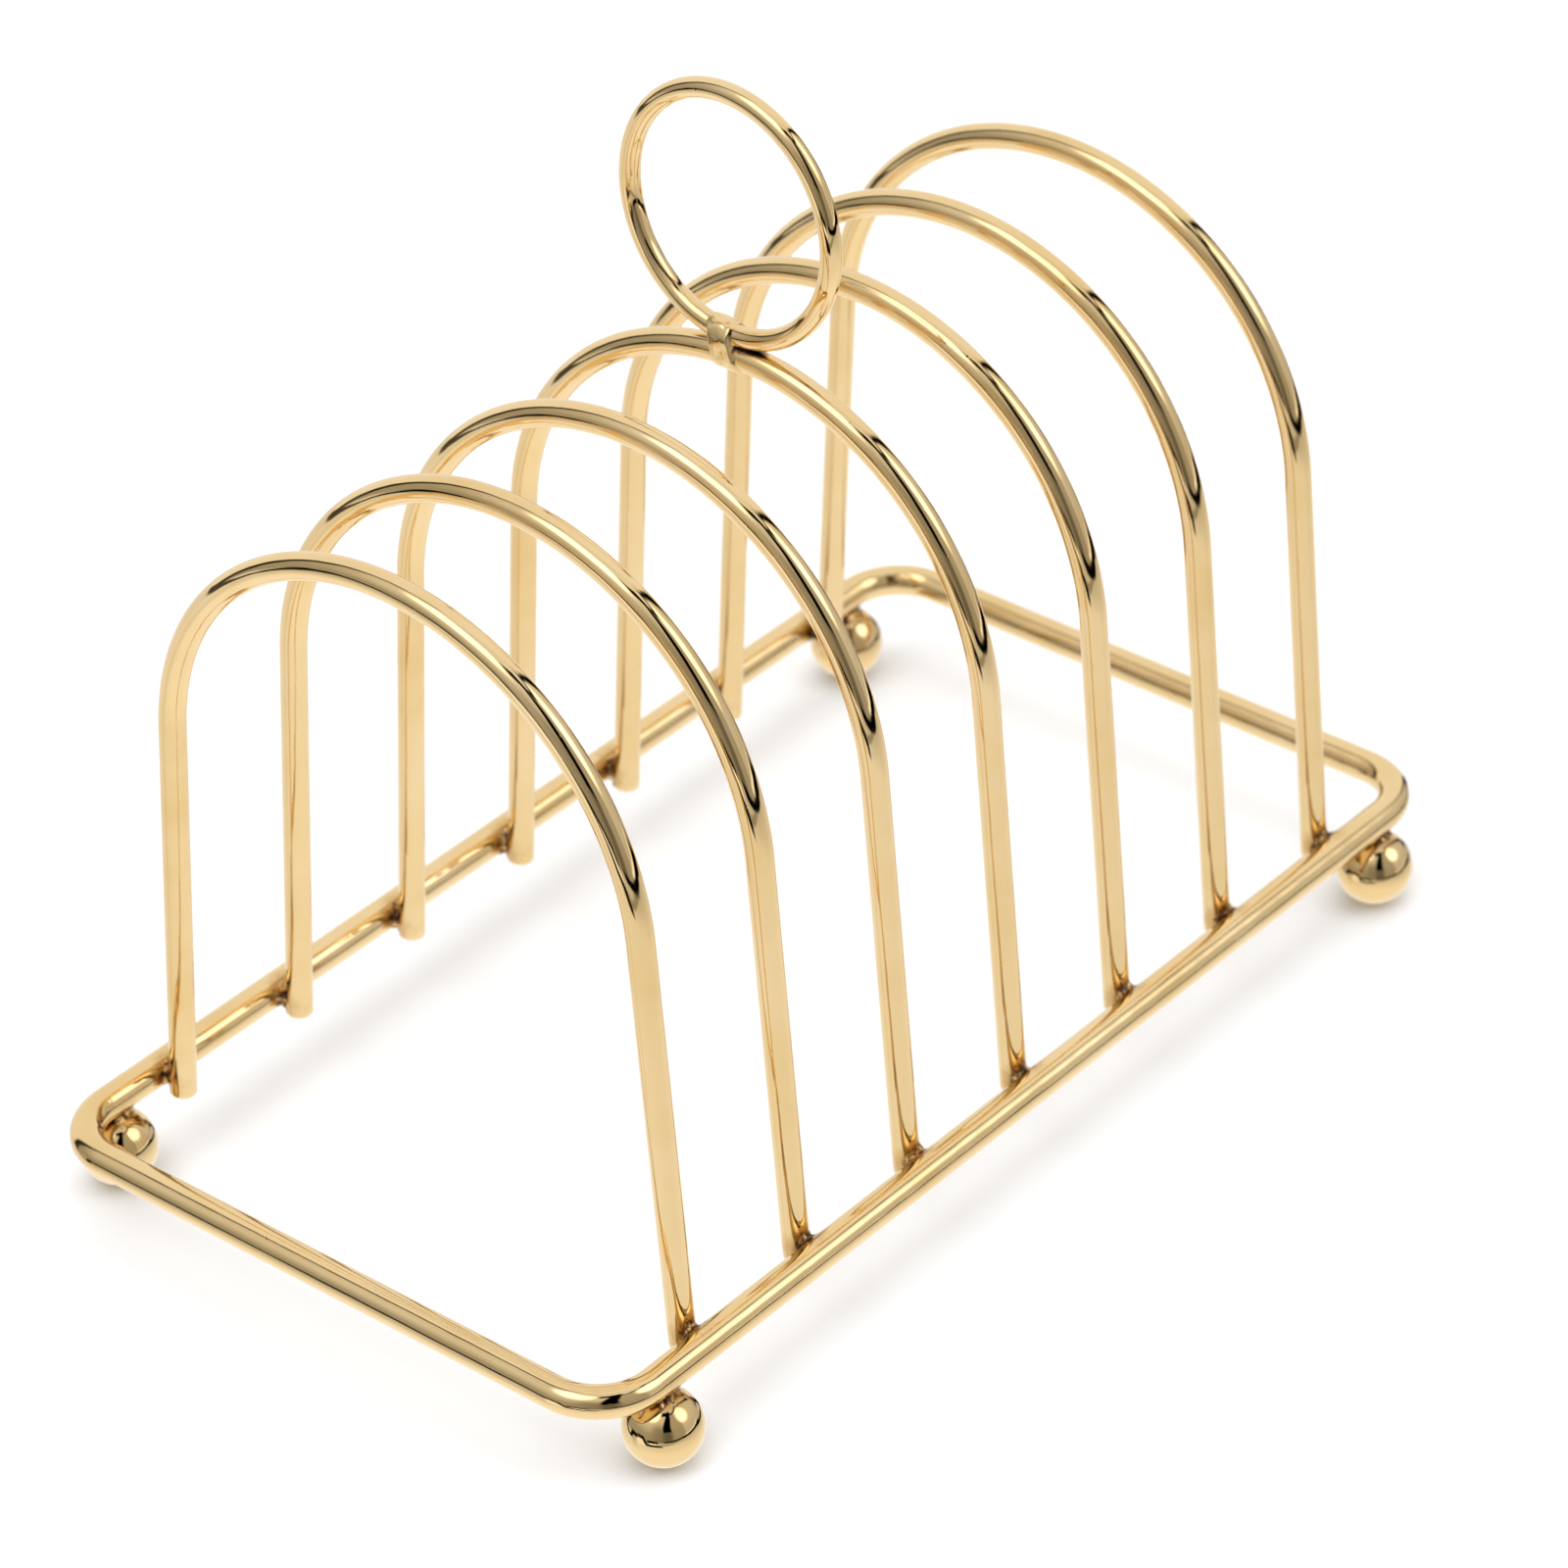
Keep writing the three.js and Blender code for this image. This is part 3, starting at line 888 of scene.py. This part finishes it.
# Black edges of the table, and bright gaps in them. Where an edge runs up or down, its slant says
# how fast.
EDGE_LINES = {
    "far_left": Patch(-139.5, 8, -19.5, -8, 3, 1.2, 0.10, 0.06, slant=-2.5),
    "left_rise": Patch(-79, 4.5, -20, -9, 2, 1.5, 0.0, 0.0, slant=0.65),
    "left_band": Patch(-79, 11, -12, -3.5, 3, 1.5, 0.0, 0.0),
    "left_top": Patch(-61, 8, -8, -0.5, 3, 1.5, 0.02, 0.02),
    "left_fall": Patch(-56, 4.5, -19, -1, 2, 1.5, 0.0, 0.0, slant=-0.75),
    "near": Patch(-28, 14, -13, -6.5, 3, 0.8, 0.0, 0.0),
    "gap": Patch(-26, 9, -16.4, -13.0, 4, 0.8, 1.4, 1.4),
    "lower": Patch(-24, 21, -22.5, -16.5, 4, 1.0, 0.0, 0.0),
    "lower_right": Patch(95, 9, -18, -9, 4, 1.0, 0.34, 0.34, slant=5.55),
    "middle": Patch(28, 26, -9.8, -5.2, 4, 0.8, 0.0, 0.0),
    "right_gleam": Patch(84, 26, -5, -1.5, 8, 1.0, 1.3, 1.3),
    "right": Patch(82, 32, -10.3, -4.3, 4, 1.0, 0.0, 0.0),
    "right_fall": Patch(62, 12, -20, -8.5, 3, 1.0, 0.0, 0.0, slant=-4.5),
    "frame_mirrored": Patch(143, 3.5, -26, -8, 1.5, 2, 0.0, 0.0, slant=-0.6),
}


def dot_with(tree, vector, fixed):
    inputs = {0: vector, 1: tuple(fixed)}
    return node(tree, "VectorMath", inputs, operation="DOT_PRODUCT").outputs["Value"]


def squared(tree, value):
    return maths(tree, "MULTIPLY", value, value)


def rounded_mask(tree, beside, elevation, patch):
    """1 inside the patch's ellipse and 0 outside it."""
    half_height = (patch.high - patch.low) / 2
    level = maths(tree, "SUBTRACT", elevation, patch.low + half_height)
    across = squared(tree, maths(tree, "DIVIDE", beside, patch.half_width))
    along = squared(tree, maths(tree, "DIVIDE", level, half_height))
    away = maths(tree, "SQRT", maths(tree, "ADD", across, along))
    edge = patch.side_edge / patch.half_width
    return ramp(tree, away, 1 + edge, 1 - edge)


def square_mask(tree, beside, elevation, patch):
    """1 inside the patch's four sides and 0 outside them."""
    sides = ramp(tree, beside, patch.half_width + patch.side_edge, patch.half_width - patch.side_edge)
    foot = ramp(tree, elevation, patch.low - patch.end_edge, patch.low + patch.end_edge)
    head = ramp(tree, elevation, patch.high + patch.end_edge, patch.high - patch.end_edge)
    return maths(tree, "MULTIPLY", sides, maths(tree, "MULTIPLY", foot, head))


def add_patch(tree, bright, azimuth, elevation, patch):
    """The brightness so far with one patch laid over it."""
    shift = maths(tree, "MULTIPLY_ADD", elevation, patch.bend, patch.slant)
    middle = maths(tree, "MULTIPLY_ADD", elevation, shift, patch.azimuth)
    turned = maths(tree, "WRAP", maths(tree, "SUBTRACT", azimuth, middle), 180.0, -180.0)
    beside = maths(tree, "ABSOLUTE", turned)
    own = ramp(tree, elevation, patch.low, patch.high, patch.foot, patch.top, smooth=False)
    mask = rounded_mask if patch.rounded else square_mask
    return blend_values(tree, mask(tree, beside, elevation, patch), bright, own)


def add_table(tree, bright, azimuth, elevation):
    """The pale table that reflections show below the horizon, with a dark line at its far edge."""
    near = ramp(tree, elevation, TABLE_EDGE, TABLE_NEAR, TABLE_EDGE_BRIGHTNESS, TABLE_BRIGHTNESS)
    further = ramp(tree, elevation, TABLE_NEAR, TABLE_NADIR, 0.0, NADIR_BRIGHTNESS - TABLE_BRIGHTNESS)
    table = maths(tree, "ADD", near, further)
    for patch in TABLE_SHADES.values():
        table = add_patch(tree, table, azimuth, elevation, patch)
    edge_top, edge_foot = TABLE_EDGE + TABLE_EDGE_SOFTNESS, TABLE_EDGE - TABLE_EDGE_SOFTNESS
    whole = blend_values(tree, ramp(tree, elevation, edge_top, edge_foot), bright, table)
    for patch in EDGE_LINES.values():
        whole = add_patch(tree, whole, azimuth, elevation, patch)
    return whole


def build_world():
    world = bpy.data.worlds.new("studio")
    bpy.context.scene.world = world
    world.use_nodes = True
    tree = world.node_tree
    tree.nodes.clear()
    direction = node(tree, "TexCoord").outputs["Generated"]
    forward = dot_with(tree, direction, to_camera)
    right = dot_with(tree, direction, to_right)
    up = dot_with(tree, direction, (0, 0, 1))
    azimuth = maths(tree, "DEGREES", maths(tree, "ARCTAN2", right, forward))
    elevation = maths(tree, "DEGREES", maths(tree, "ARCSINE", up))
    bright = ramp(tree, elevation, WALL_TOP, CEILING_START, WALL_BRIGHTNESS, CEILING_BRIGHTNESS)
    for patch in STUDIO.values():
        bright = add_patch(tree, bright, azimuth, elevation, patch)
    bright = add_table(tree, bright, azimuth, elevation)
    neutral = ramp(tree, bright, WARM_BELOW, NEUTRAL_ABOVE)
    warm = blend_colours(tree, neutral, DARK_WARMTH, WHITE)
    rays = node(tree, "LightPath").outputs
    colour = blend_colours(tree, rays["Is Glossy Ray"], WHITE, warm)
    strength = blend_values(tree, rays["Is Camera Ray"], bright, BACKGROUND_BRIGHTNESS)
    background = node(tree, "Background", {"Color": colour, "Strength": strength})
    node(tree, "OutputWorld", {"Surface": background.outputs[0]})


def floor_material():
    material, tree, places = new_material("pale_floor")
    grain = ramp(tree, noise(tree, places, FLOOR_GRAIN), *NOISE_RANGE)
    shaded = tuple(c * FLOOR_GRAIN_SHADE for c in FLOOR_COLOUR)
    colour = blend_colours(tree, grain, FLOOR_COLOUR, shaded)
    finish_surface(tree, Base_Color=colour, Roughness=1.0, Specular_IOR_Level=0.0)
    return material


def build_floor():
    half = FLOOR_SIZE / 2
    corners = [(-half, -half, 0), (half, -half, 0), (half, half, 0), (-half, half, 0)]
    floor = mesh_object("floor", corners, [(0, 1, 2, 3)])
    floor.location.z = cad_low.z
    floor.data.materials.append(floor_material())
    floor.visible_glossy = False


def build_lamp():
    lamp = bpy.data.lights.new("soft_top_light", "SUN")
    lamp.energy = LAMP_STRENGTH
    lamp.angle = LAMP_ANGLE
    holder = bpy.data.objects.new("soft_top_light", lamp)
    holder.rotation_euler = Euler(LAMP_TILT)
    holder.visible_glossy = False
    bpy.context.scene.collection.objects.link(holder)


def build_camera():
    back = to_camera * math.cos(CAMERA_ELEVATION) + Vector((0, 0, math.sin(CAMERA_ELEVATION)))
    up = back.cross(to_right)
    right = to_right * math.cos(CAMERA_ROLL) + up * math.sin(CAMERA_ROLL)
    up = back.cross(right)
    aim = (cad_low + cad_high) / 2 + CAMERA_AIM
    lens = bpy.data.cameras.new("camera")
    lens.lens = CAMERA_LENS
    lens.sensor_width = SENSOR_WIDTH
    lens.dof.use_dof = True
    lens.dof.focus_distance = CAMERA_DISTANCE + FOCUS_OFFSET
    lens.dof.aperture_fstop = F_STOP
    holder = bpy.data.objects.new("camera", lens)
    turn = Matrix((right, up, back)).transposed()
    holder.matrix_world = Matrix.Translation(aim + back * CAMERA_DISTANCE) @ turn.to_4x4()
    bpy.context.scene.collection.objects.link(holder)
    bpy.context.scene.camera = holder


add_welds()
add_wires()
add_balls()
build_world()
build_floor()
build_lamp()
build_camera()
bpy.context.scene.view_settings.view_transform = "Standard"
